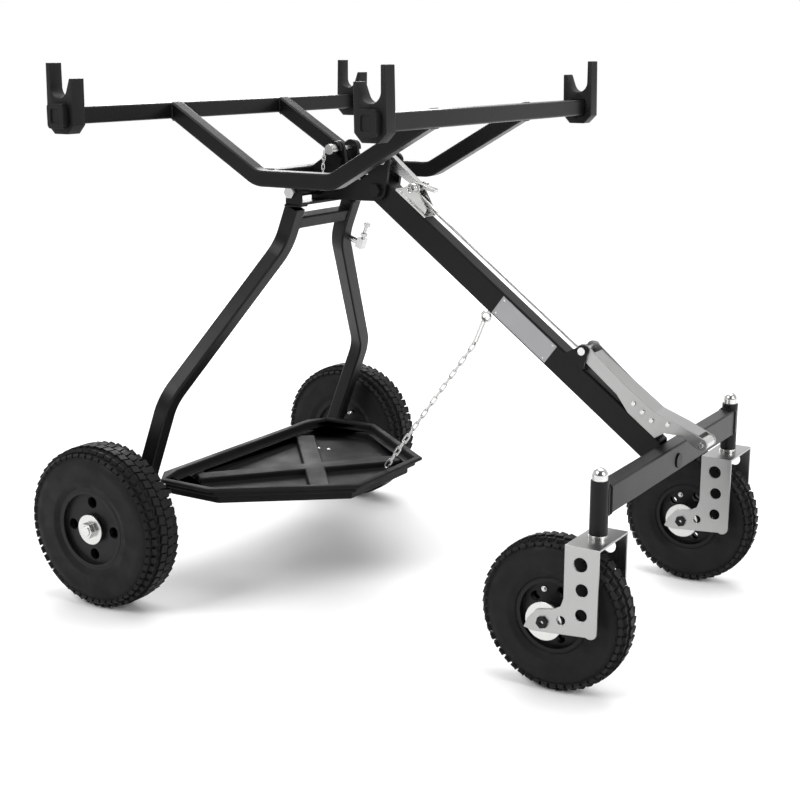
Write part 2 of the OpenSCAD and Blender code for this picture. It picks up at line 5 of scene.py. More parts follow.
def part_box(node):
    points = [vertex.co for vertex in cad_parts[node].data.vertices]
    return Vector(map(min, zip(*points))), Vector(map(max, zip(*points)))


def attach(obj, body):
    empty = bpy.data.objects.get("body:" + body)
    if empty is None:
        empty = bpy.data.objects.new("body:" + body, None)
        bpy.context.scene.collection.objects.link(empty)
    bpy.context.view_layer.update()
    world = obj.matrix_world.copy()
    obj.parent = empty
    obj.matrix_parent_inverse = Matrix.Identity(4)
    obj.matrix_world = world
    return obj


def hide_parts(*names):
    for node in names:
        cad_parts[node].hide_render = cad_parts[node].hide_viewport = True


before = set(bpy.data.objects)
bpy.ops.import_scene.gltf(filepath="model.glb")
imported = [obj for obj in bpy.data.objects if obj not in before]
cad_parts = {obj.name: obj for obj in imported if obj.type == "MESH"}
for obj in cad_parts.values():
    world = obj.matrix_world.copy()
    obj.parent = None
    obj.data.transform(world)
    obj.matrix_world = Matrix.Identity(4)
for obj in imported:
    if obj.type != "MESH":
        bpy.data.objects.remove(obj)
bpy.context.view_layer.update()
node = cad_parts


# ---- studio ----
# A pale floor in a white room whose wall behind the camera is dark, one broad lamp from the front
# left, one from the right, one above and one behind. The camera stands off the left front corner.
def lamp(name, place, size, power):
    light = bpy.data.lights.new(name, "AREA")
    light.size, light.energy = size, power
    obj = bpy.data.objects.new(name, light)
    obj.location = place
    obj.rotation_euler = (Vector((0, 0, 0.35)) - Vector(place)).to_track_quat("-Z", "Y").to_euler()
    bpy.context.scene.collection.objects.link(obj)


lamp("key", (-1.2, -2.6, 2.6), 1.6, 75)
lamp("side", (2.8, -0.6, 1.6), 1.4, 48)
lamp("top", (0.2, 0.6, 3.2), 2.4, 60)
lamp("back", (-2.2, 2.4, 1.8), 1.6, 45)

world = bpy.data.worlds.new("room")
bpy.context.scene.world = world
world.use_nodes = True
background = world.node_tree.nodes["Background"]
background.inputs["Color"].default_value = (1, 1, 1, 1)
facing = world.node_tree.nodes.new("ShaderNodeVectorMath")
facing.operation = "DOT_PRODUCT"
facing.inputs[1].default_value = (0.52, -0.83, 0.2)
dim = world.node_tree.nodes.new("ShaderNodeMapRange")
dim.inputs["From Min"].default_value, dim.inputs["From Max"].default_value = -0.35, 0.75
dim.inputs["To Min"].default_value, dim.inputs["To Max"].default_value = 1.0, 0.10
sky = world.node_tree.nodes.new("ShaderNodeTexCoord")
world.node_tree.links.new(sky.outputs["Generated"], facing.inputs[0])
world.node_tree.links.new(facing.outputs["Value"], dim.inputs["Value"])
seen = world.node_tree.nodes.new("ShaderNodeLightPath")
open_white = world.node_tree.nodes.new("ShaderNodeMath")
open_white.operation = "MAXIMUM"
world.node_tree.links.new(dim.outputs["Result"], open_white.inputs[0])
world.node_tree.links.new(seen.outputs["Is Camera Ray"], open_white.inputs[1])
world.node_tree.links.new(open_white.outputs["Value"], background.inputs["Strength"])
bpy.context.scene.view_settings.view_transform = "Standard"

lens = bpy.data.cameras.new("camera")
lens.lens, lens.sensor_width = 64.8, 36
camera = bpy.data.objects.new("camera", lens)
camera.location = (1.1728, -1.9297, 0.8549)
camera.rotation_euler = (math.radians(76.4), 0, math.radians(32.0))
bpy.context.scene.collection.objects.link(camera)
bpy.context.scene.camera = camera


def wire(tree, *pairs):
    for a, b in pairs:
        tree.links.new(a, b)


def finish_mat(name, colour, rough, metal=0.0, grain=900, depth=0.00012, patch=6, shade=0.25, coat=0.0,
               spec=0.5):
    """A grained surface: fine bump, patchy roughness and a slow drift of its colour."""
    mat = bpy.data.materials.new(name)
    mat.use_nodes = True
    tree = mat.node_tree
    skin = tree.nodes["Principled BSDF"]
    skin.inputs["Metallic"].default_value = metal
    skin.inputs["Coat Weight"].default_value = coat
    skin.inputs["Coat Roughness"].default_value = 0.22
    where = tree.nodes.new("ShaderNodeTexCoord")
    slow = tree.nodes.new("ShaderNodeTexNoise")
    slow.inputs["Scale"].default_value = patch
    slow.inputs["Detail"].default_value = 6
    fine = tree.nodes.new("ShaderNodeTexNoise")
    fine.inputs["Scale"].default_value = grain
    fine.inputs["Detail"].default_value = 3
    tint = tree.nodes.new("ShaderNodeMix")
    tint.data_type = "RGBA"
    tint.inputs["A"].default_value = (*[c * (1 - shade) for c in colour], 1)
    tint.inputs["B"].default_value = (*[min(1, c * (1 + shade)) for c in colour], 1)
    gloss = tree.nodes.new("ShaderNodeMapRange")
    gloss.inputs["From Min"].default_value, gloss.inputs["From Max"].default_value = 0.3, 0.7
    gloss.inputs["To Min"].default_value = rough * 0.8
    gloss.inputs["To Max"].default_value = min(1, rough * 1.25)
    bump = tree.nodes.new("ShaderNodeBump")
    bump.inputs["Strength"].default_value = 0.6
    bump.inputs["Distance"].default_value = depth
    edge = tree.nodes.new("ShaderNodeBevel")
    edge.samples = 4
    edge.inputs["Radius"].default_value = 0.0013
    skin.inputs["Specular IOR Level"].default_value = spec
    wire(tree,
         (edge.outputs["Normal"], bump.inputs["Normal"]),
         (where.outputs["Object"], slow.inputs["Vector"]), (where.outputs["Object"], fine.inputs["Vector"]),
         (slow.outputs["Fac"], tint.inputs["Factor"]), (tint.outputs["Result"], skin.inputs["Base Color"]),
         (slow.outputs["Fac"], gloss.inputs["Value"]), (gloss.outputs["Result"], skin.inputs["Roughness"]),
         (fine.outputs["Fac"], bump.inputs["Height"]), (bump.outputs["Normal"], skin.inputs["Normal"]))
    return mat


def wear(*names, mat):
    """Puts a finish on these CAD parts."""
    for n in names:
        node[n].data.materials.clear()
        node[n].data.materials.append(mat)


bpy.ops.mesh.primitive_plane_add(size=14, location=(0, 0, 0))
floor = bpy.context.object
floor.name = "floor"
paper = finish_mat("floor_paper", (0.90, 0.90, 0.90), 0.75, grain=60, shade=0.01)
far = paper.node_tree.nodes.new("ShaderNodeVectorMath")
far.operation = "LENGTH"
glow = paper.node_tree.nodes.new("ShaderNodeMapRange")
glow.inputs["From Min"].default_value, glow.inputs["From Max"].default_value = 1.0, 2.6
glow.inputs["To Max"].default_value = 0.6
wire(paper.node_tree,
     (paper.node_tree.nodes["Texture Coordinate"].outputs["Object"], far.inputs[0]),
     (far.outputs["Value"], glow.inputs["Value"]),
     (glow.outputs["Result"], paper.node_tree.nodes["Principled BSDF"].inputs["Emission Strength"]))
paper.node_tree.nodes["Principled BSDF"].inputs["Emission Color"].default_value = (1, 1, 1, 1)
floor.data.materials.append(paper)


# ---- frame, cradle and leg ----
# Welded square steel tube and plate, shot-blasted and powder-coated satin black; the coat has a
# fine orange peel and is a little greyer where dust has settled.
powder = finish_mat("black_powder_coat", (0.0045, 0.0045, 0.005), 0.32, grain=700, depth=0.00018, shade=0.35,
                    spec=0.17)
wear("hub_bracket", "hub_arms", "rear_leg_left", "rear_leg_right", "spreader_bar", "tray_tube_bar",
     "rear_rail", "front_rail", "cradle_tube_left", "cradle_tube_right", "cradle_cross_tube", "cradle_lugs",
     "front_leg", "caster_crossbar", "head_tubes", "pedal_ears", "tray_clips", "leg_bolt", mat=powder)


# ---- weld beads ----
# Each joint between tubes carries a rippled bead of weld, about 5 mm wide, painted with the frame.
def from_tree(name, tree, values, mesh=None):
    """Runs a node tree on a mesh, or on an empty one, and keeps the result as a plain mesh."""
    host = bpy.data.objects.new(name, mesh or bpy.data.meshes.new(name))
    bpy.context.scene.collection.objects.link(host)
    mod = host.modifiers.new("made", "NODES")
    mod.node_group = tree
    for item in tree.interface.items_tree:
        if item.in_out == "INPUT" and item.name in values:
            mod[item.identifier] = values[item.name]
    bpy.context.view_layer.update()
    result = bpy.data.meshes.new_from_object(host.evaluated_get(bpy.context.evaluated_depsgraph_get()))
    host.modifiers.clear()
    host.data = result
    return host


def bead_tree():
    """A rippled round bead along every edge of the mesh it is given."""
    tree = bpy.data.node_groups.new("weld_bead", "GeometryNodeTree")
    face = tree.interface
    face.new_socket("Route", in_out="INPUT", socket_type="NodeSocketGeometry")
    face.new_socket("Bead", in_out="INPUT", socket_type="NodeSocketFloat")
    face.new_socket("Paint", in_out="INPUT", socket_type="NodeSocketMaterial")
    face.new_socket("Geometry", in_out="OUTPUT", socket_type="NodeSocketGeometry")
    made = tree.nodes.new
    given, out = made("NodeGroupInput"), made("NodeGroupOutput")
    curve, even = made("GeometryNodeMeshToCurve"), made("GeometryNodeResampleCurve")
    ring = made("GeometryNodeCurvePrimitiveCircle")
    index, wave, size = made("GeometryNodeInputIndex"), made("ShaderNodeMath"), made("ShaderNodeMapRange")
    times, swell = made("ShaderNodeMath"), made("GeometryNodeSetCurveRadius")
    sweep = made("GeometryNodeCurveToMesh")
    real, paint = made("GeometryNodeRealizeInstances"), made("GeometryNodeSetMaterial")
    even.mode = "LENGTH"
    even.inputs["Length"].default_value = 0.0011
    times.operation, wave.operation = "MULTIPLY", "SINE"
    times.inputs[1].default_value = 1.9
    size.inputs["From Min"].default_value = -1
    size.inputs["To Min"].default_value, size.inputs["To Max"].default_value = 0.8, 1.15
    ring.inputs["Resolution"].default_value = 8
    sweep.inputs["Fill Caps"].default_value = True
    wire(tree,
         (given.outputs["Route"], curve.inputs[0]), (curve.outputs[0], even.inputs["Curve"]),
         (index.outputs[0], times.inputs[0]), (times.outputs[0], wave.inputs[0]),
         (wave.outputs[0], size.inputs["Value"]),
         (even.outputs[0], swell.inputs["Curve"]), (size.outputs[0], swell.inputs["Radius"]),
         (given.outputs["Bead"], ring.inputs["Radius"]), (swell.outputs[0], sweep.inputs["Curve"]),
         (ring.outputs[0], sweep.inputs["Profile Curve"]), (sweep.outputs[0], real.inputs[0]),
         (real.outputs[0], paint.inputs["Geometry"]), (given.outputs["Paint"], paint.inputs["Material"]),
         (paint.outputs[0], out.inputs[0]))
    if "Scale" in sweep.inputs:
        wire(tree, (size.outputs[0], sweep.inputs["Scale"]))
    return tree


bead = bead_tree()


def middle(name):
    lo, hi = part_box(name)
    return (Vector(lo) + Vector(hi)) / 2


def loop(y, x, z, half_x, half_z, slope=0.0):
    """A rectangle round a tube that runs along Y, its corners drawn in; slope tips it in X and Z."""
    c = 0.003
    flat = [(half_x, half_z - c), (half_x - c, half_z), (c - half_x, half_z), (-half_x, half_z - c),
            (-half_x, c - half_z), (c - half_x, -half_z), (half_x - c, -half_z), (half_x, c - half_z)]
    c, s = math.cos(slope), math.sin(slope)
    return [Vector((x + a * c + b * s, y, z - a * s + b * c)) for a, b in flat]


def upright(x, y, z, half_y, half_z):
    """The same round a tube that meets a face standing across X."""
    return [Vector((x, y + p.x, z + p.z)) for p in loop(0, 0, 0, half_y, half_z)]


def weld(name, loops, body, size=0.0022):
    verts, edges = [], []
    for points in loops:
        n = len(verts)
        verts += points
        edges += [(n + i, n + (i + 1) % len(points)) for i in range(len(points))]
    mesh = bpy.data.meshes.new(name)
    mesh.from_pydata(verts, edges, [])
    obj = from_tree(name, bead, {"Bead": size, "Paint": powder}, mesh)
    for f in obj.data.polygons:
        f.use_smooth = True
    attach(obj, body)


half = 0.0125
cross, spread, bar = middle("cradle_cross_tube"), middle("spreader_bar"), middle("caster_crossbar")
rear_x, front_x, rail_z = middle("rear_rail").x, middle("front_rail").x, middle("rear_rail").z
tube_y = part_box("cradle_tube_right")[0][1] + half
cradle_loops = []
for side in (-1, 1):
    cradle_loops.append(loop(side * (tube_y - half - 0.0005), cross.x, cross.z, half, half))
    cradle_loops.append(upright(rear_x + half, side * tube_y, rail_z - 0.0014, half, 0.0132))
    cradle_loops.append(upright(front_x - half, side * tube_y, rail_z - 0.0014, half, 0.0132))
weld("cradle_welds", cradle_loops, "cradle", 0.0017)
hub_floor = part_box("hub_bracket")[0][2]
lean = math.atan2(0.187, 0.488)
leg_y = 0.080
frame_loops = []
for side in (-1, 1):
    frame_loops.append(loop(side * (leg_y - half - 0.0005), spread.x, spread.z, 0.010, 0.010, lean))
    leg_x = spread.x + (hub_floor - spread.z) * math.tan(lean)
    frame_loops.append([Vector((leg_x + p.x, side * leg_y + p.z, hub_floor - 0.001))
                        for p in loop(0, 0, 0, 0.0134, half)])
weld("frame_welds", frame_loops, "frame")
weld("crossbar_welds", [loop(side * 0.2400, bar.x, bar.z, half, 0.020) for side in (-1, 1)], "front_leg")


# ---- forks and caps ----
# Moulded black nylon: four fork blocks pushed over the rails, a collar on each rail end and a round
# plug in the caster crossbar.
nylon = finish_mat("moulded_nylon", (0.0055, 0.0055, 0.006), 0.45, grain=1500, depth=0.0001, shade=0.3,
                   spec=0.2)
wear("fork_rear_left", "fork_rear_right", "fork_front_left", "fork_front_right", "rail_caps",
     "crossbar_plug", mat=nylon)


def soften(old, width, body):
    """The same moulding with its edges rounded over."""
    bm = bmesh.new()
    bm.from_mesh(node[old].data)
    bmesh.ops.remove_doubles(bm, verts=bm.verts, dist=1e-5)
    bmesh.ops.dissolve_limit(bm, angle_limit=math.radians(1), verts=bm.verts, edges=bm.edges)
    mesh = bpy.data.meshes.new(old + "_soft")
    bm.to_mesh(mesh)
    bm.free()
    for f in mesh.polygons:
        f.use_smooth = True
    obj = bpy.data.objects.new(old + "_soft", mesh)
    bpy.context.scene.collection.objects.link(obj)
    round_over = obj.modifiers.new("round", "BEVEL")
    round_over.width, round_over.segments = width, 3
    round_over.limit_method, round_over.angle_limit = "ANGLE", math.radians(35)
    round_over.harden_normals = True
    bpy.context.view_layer.update()
    obj.data = bpy.data.meshes.new_from_object(obj.evaluated_get(bpy.context.evaluated_depsgraph_get()))
    obj.modifiers.clear()
    obj.data.materials.clear()
    obj.data.materials.append(node[old].data.materials[0])
    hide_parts(old)
    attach(obj, body)


for corner in ("rear_left", "rear_right", "front_left", "front_right"):
    soften("fork_" + corner, 0.0016, "cradle")


# ---- bright fittings ----
# Bolts, pins, latch, rod, pedal and chains: bright zinc plate, slightly cloudy, with fine rolling
# lines in the sheet parts.
zinc = finish_mat("bright_zinc", (0.56, 0.56, 0.55), 0.24, metal=1.0, grain=1400, depth=0.00006,
                  patch=25, shade=0.12)
wear("stub_axles", "rear_axle_nuts", "leg_stop", "cradle_bolt", "catch_pin", "lock_pin",
     "lock_pin_chain", "leg_bush", "eye_bolt", "latch_body", "latch_claw", "claw_pin", "latch_rod",
     "rod_sleeve", "pedal_pin", "pedal_nose", "pedal_rivets", "tray_chain", "snap_hook", mat=zinc)
for s in ("left", "right"):
    wear("caster_stem_" + s, "caster_axle_" + s, mat=zinc)


# ---- pressed sheet: caster forks and pedal link ----
# Three-millimetre steel, cut and folded, then zinc plated: paler and more matt than the bolts,
# brushed along its length.
sheet = finish_mat("plated_sheet", (0.37, 0.37, 0.365), 0.33, metal=1.0, grain=500, depth=0.0001,
                   patch=14, shade=0.15)
stretch = sheet.node_tree.nodes.new("ShaderNodeMapping")
stretch.inputs["Scale"].default_value = (1, 1, 0.04)
wire(sheet.node_tree,
     (sheet.node_tree.nodes["Texture Coordinate"].outputs["Object"], stretch.inputs["Vector"]),
     (stretch.outputs["Vector"], sheet.node_tree.nodes["Noise Texture.001"].inputs["Vector"]))
wear("caster_fork_left", "caster_fork_right", "pedal_link", mat=sheet)

plain_plate = finish_mat("blank_plate", (0.30, 0.30, 0.31), 0.36, metal=0.9, grain=800, depth=0.00008,
                         patch=30, shade=0.1)
wear("label_plate", mat=plain_plate)


# ---- wheels ----
# Moulded two-piece nylon rims with pneumatic tyres: square-block treads on the big rear wheels and
# rounder knobs on the casters, over a carcass with ribbed sidewalls.
wear("caster_rim_left", "caster_rim_right", "rear_rim_left", "rear_rim_right", mat=nylon)
rubber = finish_mat("tyre_rubber", (0.0045, 0.0045, 0.0047), 0.58, grain=1200, depth=0.00025, patch=40,
                    shade=0.35, spec=0.2)


def turned(name, profile, steps, mat):
    """A closed outline of (radius, y) points turned round the Y axis."""
    n = len(profile)
    verts, faces = [], []
    for i in range(steps):
        a = 2 * math.pi * i / steps
        verts += [(r * math.cos(a), y, r * math.sin(a)) for r, y in profile]
    for i in range(steps):
        for k in range(n):
            a, b = i * n + k, i * n + (k + 1) % n
            c, d = (i + 1) % steps * n + (k + 1) % n, (i + 1) % steps * n + k
            faces.append((a, b, c, d))
    mesh = bpy.data.meshes.new(name)
    mesh.from_pydata(verts, [], faces)
    mesh.materials.append(mat)
    for f in mesh.polygons:
        f.use_smooth = True
    obj = bpy.data.objects.new(name, mesh)
    bpy.context.scene.collection.objects.link(obj)
    outward(obj)
    return obj


def outward(obj):
    """Closes the mesh up and turns its faces outward."""
    bm = bmesh.new()
    bm.from_mesh(obj.data)
    bmesh.ops.remove_doubles(bm, verts=bm.verts, dist=1e-6)
    bmesh.ops.recalc_face_normals(bm, faces=bm.faces)
    bm.to_mesh(obj.data)
    bm.free()


def tread_tree():
    """Rows of blocks round the Y axis: each row has its radius, side offset, tilt and phase."""
    tree = bpy.data.node_groups.new("tread_rows", "GeometryNodeTree")
    face = tree.interface
    for label, kind, start in (("Count", "NodeSocketInt", 40), ("Radius", "NodeSocketFloat", 0.1),
                               ("Offset", "NodeSocketFloat", 0.0), ("Tilt", "NodeSocketFloat", 0.0),
                               ("Phase", "NodeSocketFloat", 0.0), ("Block", "NodeSocketVector", None),
                               ("Skew", "NodeSocketFloat", 0.0), ("Rubber", "NodeSocketMaterial", None)):
        item = face.new_socket(label, in_out="INPUT", socket_type=kind)
        if start is not None:
            item.default_value = start
    face.new_socket("Geometry", in_out="OUTPUT", socket_type="NodeSocketGeometry")
    made = tree.nodes.new
    given, out = made("NodeGroupInput"), made("NodeGroupOutput")
    line, cube = made("GeometryNodeMeshLine"), made("GeometryNodeMeshCube")
    index, share = made("GeometryNodeInputIndex"), made("ShaderNodeMath")
    full, angle = made("ShaderNodeMath"), made("ShaderNodeMath")
    cosine, sine = made("ShaderNodeMath"), made("ShaderNodeMath")
    across, up, spot = made("ShaderNodeMath"), made("ShaderNodeMath"), made("ShaderNodeCombineXYZ")
    put, lay = made("GeometryNodeSetPosition"), made("GeometryNodeInstanceOnPoints")
    minus, both = made("ShaderNodeMath"), made("FunctionNodeRotateRotation")
    turn, lean = made("ShaderNodeCombineXYZ"), made("ShaderNodeCombineXYZ")
    as_turn, as_lean = made("FunctionNodeEulerToRotation"), made("FunctionNodeEulerToRotation")
    real, paint = made("GeometryNodeRealizeInstances"), made("GeometryNodeSetMaterial")
    share.operation, full.operation, angle.operation = "DIVIDE", "MULTIPLY", "ADD"
    full.inputs[1].default_value = 2 * math.pi
    cosine.operation, sine.operation = "COSINE", "SINE"
    across.operation = up.operation = "MULTIPLY"
    minus.operation = "MULTIPLY"
    minus.inputs[1].default_value = -1
    line.mode = "OFFSET"
    both.rotation_space = "LOCAL"
    wire(tree,
         (given.outputs["Count"], line.inputs["Count"]), (index.outputs[0], share.inputs[0]),
         (given.outputs["Count"], share.inputs[1]), (share.outputs[0], full.inputs[0]),
         (full.outputs[0], angle.inputs[0]), (given.outputs["Phase"], angle.inputs[1]),
         (angle.outputs[0], cosine.inputs[0]), (angle.outputs[0], sine.inputs[0]),
         (cosine.outputs[0], across.inputs[0]), (given.outputs["Radius"], across.inputs[1]),
         (sine.outputs[0], up.inputs[0]), (given.outputs["Radius"], up.inputs[1]),
         (across.outputs[0], spot.inputs["X"]), (given.outputs["Offset"], spot.inputs["Y"]),
         (up.outputs[0], spot.inputs["Z"]), (line.outputs[0], put.inputs["Geometry"]),
         (spot.outputs[0], put.inputs["Position"]), (angle.outputs[0], minus.inputs[0]),
         (minus.outputs[0], turn.inputs["Y"]), (given.outputs["Tilt"], lean.inputs["Z"]),
         (given.outputs["Skew"], lean.inputs["X"]), (turn.outputs[0], as_turn.inputs[0]),
         (lean.outputs[0], as_lean.inputs[0]), (as_turn.outputs[0], both.inputs["Rotation"]),
         (as_lean.outputs[0], both.inputs["Rotate By"]), (given.outputs["Block"], cube.inputs["Size"]),
         (put.outputs[0], lay.inputs["Points"]), (cube.outputs[0], lay.inputs["Instance"]),
         (both.outputs[0], lay.inputs["Rotation"]), (lay.outputs[0], real.inputs[0]),
         (real.outputs[0], paint.inputs["Geometry"]), (given.outputs["Rubber"], paint.inputs["Material"]),
         (paint.outputs[0], out.inputs[0]))
    return tree


def join(name, parts):
    """Makes one plain mesh of several."""
    bpy.ops.object.select_all(action="DESELECT")
    for p in parts:
        p.select_set(True)
    bpy.context.view_layer.objects.active = parts[0]
    bpy.ops.object.join()
    parts[0].name = name
    return parts[0]


tread = tread_tree()


def tyre(name, radius, width, bead, rows, lug):
    """A carcass turned to the outline, with sidewall ribs, and its rows of tread blocks."""
    r, h = radius - lug, width / 2
    side = []
    crown = 0.42 * (r - bead)
    for k in range(13):
        a = math.radians(-90 + 15 * k)
        drop = crown * (1 - math.cos(a) ** 0.8) if abs(a) < 1.57 else crown
        side.append((r - drop, (h - 0.001) * math.sin(a)))
    outline = [(bead, -h * 0.72), (bead + 0.004, -h * 0.84), (bead + 0.010, -h * 0.86),
               (bead + 0.0125, -h * 0.93), (bead + 0.0155, -h * 0.91)]
    outline += side
    outline += [(a, -b) for a, b in reversed(outline[:5])]
    outline += [(bead + 0.004, h * 0.5), (bead + 0.004, -h * 0.5)]
    carcass = turned(name, outline, 96, rubber)
    parts = [carcass]
    for count, drop, offset, tilt, size, skew in rows:
        for sgn in ((-1, 1) if offset else (1,)):
            parts.append(from_tree(name + "_row", tread, {
                "Count": count, "Radius": radius - drop, "Offset": sgn * offset, "Tilt": -sgn * tilt,
                "Phase": (0.5 + 0.5 * sgn) * math.pi / count, "Block": size, "Skew": sgn * skew,
                "Rubber": rubber}))
    whole = join(name, parts)
    return whole


def wheel_centre(rim):
    lo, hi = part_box(rim)
    return Vector(((lo[0] + hi[0]) / 2, (lo[1] + hi[1]) / 2, (lo[2] + hi[2]) / 2))


REAR_ROWS = ((54, 0.0034, 0.0072, 0.0, (0.0060, 0.0125, 0.0120), 0.22),
             (54, 0.0070, 0.0212, 0.35, (0.0060, 0.0120, 0.0115), -0.25),
             (54, 0.0140, 0.0312, 0.85, (0.0050, 0.0095, 0.0105), 0.0))
CASTER_ROWS = ((50, 0.0030, 0.0, 0.0, (0.0055, 0.0090, 0.0102), 0.3),
               (50, 0.0050, 0.0110, 0.22, (0.0055, 0.0088, 0.0100), -0.3),
               (50, 0.0108, 0.0205, 0.78, (0.0050, 0.0085, 0.0092), 0.0))
for s in ("left", "right"):
    for kind, rows, bead_r in (("rear", REAR_ROWS, 0.062), ("caster", CASTER_ROWS, 0.052)):
        old = f"{kind}_tyre_{s}"
        lo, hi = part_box(old)
        piece = tyre(f"{kind}_tread_{s}", (hi[2] - lo[2]) / 2, hi[1] - lo[1], bead_r, rows, 0.003)
        piece.data.transform(Matrix.Translation(wheel_centre(f"{kind}_rim_{s}")))
        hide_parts(old)
        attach(piece, f"{kind}_wheel_{s}")


# ---- tray ----
# One sheet of black plastic, vacuum formed with a rolled rim and stiffening ribs; the grain of the
# sheet shows as a fine leathery texture.
tray_plastic = finish_mat("formed_tray", (0.006, 0.006, 0.0063), 0.6, grain=420, depth=0.00035, patch=10,
                          shade=0.3, spec=0.14)
wear("tray", mat=tray_plastic)
soften("tray", 0.0032, "tray")


# ---- latch springs ----
# Two torsion springs of bright wire on the claw's pivot pin pull the claw down over its catch pin.
def spring_tree():
    """A coil of round wire along Y, with its turns, radius, pitch and wire as inputs."""
    tree = bpy.data.node_groups.new("wire_spring", "GeometryNodeTree")
    face = tree.interface
    for label, kind in (("Turns", "NodeSocketFloat"), ("Radius", "NodeSocketFloat"),
                        ("Length", "NodeSocketFloat"), ("Wire", "NodeSocketFloat"),
                        ("Steel", "NodeSocketMaterial")):
        face.new_socket(label, in_out="INPUT", socket_type=kind)
    face.new_socket("Geometry", in_out="OUTPUT", socket_type="NodeSocketGeometry")
    made = tree.nodes.new
    given, out = made("NodeGroupInput"), made("NodeGroupOutput")
    coil, ring = made("GeometryNodeCurveSpiral"), made("GeometryNodeCurvePrimitiveCircle")
    sweep, turn = made("GeometryNodeCurveToMesh"), made("GeometryNodeTransform")
    real, paint = made("GeometryNodeRealizeInstances"), made("GeometryNodeSetMaterial")
    coil.inputs["Resolution"].default_value = 20
    ring.inputs["Resolution"].default_value = 10
    sweep.inputs["Fill Caps"].default_value = True
    turn.inputs["Rotation"].default_value = (math.pi / 2, 0, 0)
    wire(tree,
         (given.outputs["Turns"], coil.inputs["Rotations"]),
         (given.outputs["Radius"], coil.inputs["Start Radius"]),
         (given.outputs["Radius"], coil.inputs["End Radius"]),
         (given.outputs["Length"], coil.inputs["Height"]),
         (given.outputs["Wire"], ring.inputs["Radius"]), (coil.outputs[0], sweep.inputs["Curve"]),
         (ring.outputs[0], sweep.inputs["Profile Curve"]), (sweep.outputs[0], turn.inputs["Geometry"]),
         (turn.outputs[0], real.inputs[0]), (real.outputs[0], paint.inputs["Geometry"]),
         (given.outputs["Steel"], paint.inputs["Material"]), (paint.outputs[0], out.inputs[0]))
    return tree


spring = spring_tree()
pin_lo, pin_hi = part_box("claw_pin")
pin_x, pin_z = (pin_lo[0] + pin_hi[0]) / 2, (pin_lo[2] + pin_hi[2]) / 2
for s, y in (("left", -0.0150), ("right", 0.0235)):
    coil = from_tree("latch_spring_" + s, spring, {"Turns": 4.5, "Radius": 0.0068, "Length": 0.0085,
                                                   "Wire": 0.0009, "Steel": zinc})
    coil.data.transform(Matrix.Translation((pin_x, y, pin_z)))
    outward(coil)
    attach(coil, "front_leg")


# ---- rim bolts ----
# The two halves of each caster rim are drawn together by three zinc bolts with dished washers.
def bolt_ring_tree():
    """Hex heads on washers, standing on a circle round the Y axis and facing along it."""
    tree = bpy.data.node_groups.new("bolt_ring", "GeometryNodeTree")
    face = tree.interface
    for label, kind in (("Count", "NodeSocketInt"), ("Circle", "NodeSocketFloat"),
                        ("Head", "NodeSocketFloat"), ("Face", "NodeSocketFloat"),
                        ("Steel", "NodeSocketMaterial")):
        face.new_socket(label, in_out="INPUT", socket_type=kind)
    face.new_socket("Geometry", in_out="OUTPUT", socket_type="NodeSocketGeometry")
    made = tree.nodes.new
    given, out = made("NodeGroupInput"), made("NodeGroupOutput")
    ring, lay = made("GeometryNodeMeshCircle"), made("GeometryNodeInstanceOnPoints")
    head, washer = made("GeometryNodeMeshCylinder"), made("GeometryNodeMeshCylinder")
    place, both = made("GeometryNodeTransform"), made("GeometryNodeJoinGeometry")
    wide, high, lift = made("ShaderNodeMath"), made("ShaderNodeMath"), made("ShaderNodeCombineXYZ")
    lie, real = made("GeometryNodeTransform"), made("GeometryNodeRealizeInstances")
    paint = made("GeometryNodeSetMaterial")
    shift = made("ShaderNodeCombineXYZ")
    head.inputs["Vertices"].default_value = 6
    washer.inputs["Vertices"].default_value = 20
    washer.inputs["Depth"].default_value = 0.0016
    wide.operation = high.operation = "MULTIPLY"
    wide.inputs[1].default_value, high.inputs[1].default_value = 1.6, 0.9
    lie.inputs["Rotation"].default_value = (-math.pi / 2, 0, 0)
    wire(tree,
         (given.outputs["Count"], ring.inputs["Vertices"]), (given.outputs["Circle"], ring.inputs["Radius"]),
         (given.outputs["Head"], head.inputs["Radius"]), (given.outputs["Head"], wide.inputs[0]),
         (wide.outputs[0], washer.inputs["Radius"]), (given.outputs["Head"], high.inputs[0]),
         (high.outputs[0], head.inputs["Depth"]), (high.outputs[0], lift.inputs["Z"]),
         (head.outputs["Mesh"], place.inputs["Geometry"]), (lift.outputs[0], place.inputs["Translation"]),
         (place.outputs[0], both.inputs[0]), (washer.outputs["Mesh"], both.inputs[0]),
         (ring.outputs[0], lay.inputs["Points"]), (both.outputs[0], lay.inputs["Instance"]),
         (lay.outputs[0], lie.inputs["Geometry"]), (given.outputs["Face"], shift.inputs["Y"]),
         (shift.outputs[0], lie.inputs["Translation"]), (lie.outputs[0], real.inputs[0]),
         (real.outputs[0], paint.inputs["Geometry"]), (given.outputs["Steel"], paint.inputs["Material"]),
         (paint.outputs[0], out.inputs[0]))
    return tree


bolt_ring = bolt_ring_tree()
for s in ("left", "right"):
    halves = []
    for turn in (0, math.pi):
        ring = from_tree("rim_bolts", bolt_ring, {"Count": 3, "Circle": 0.0365, "Head": 0.0026,
                                                  "Face": 0.0125, "Steel": zinc})
        ring.data.transform(Matrix.Translation(wheel_centre("caster_rim_" + s))
                            @ Matrix.Rotation(turn, 4, "Z") @ Matrix.Rotation(0.95, 4, "Y"))
        halves.append(ring)
    bolts = join("caster_rim_bolts_" + s, halves)
    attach(bolts, "caster_wheel_" + s)
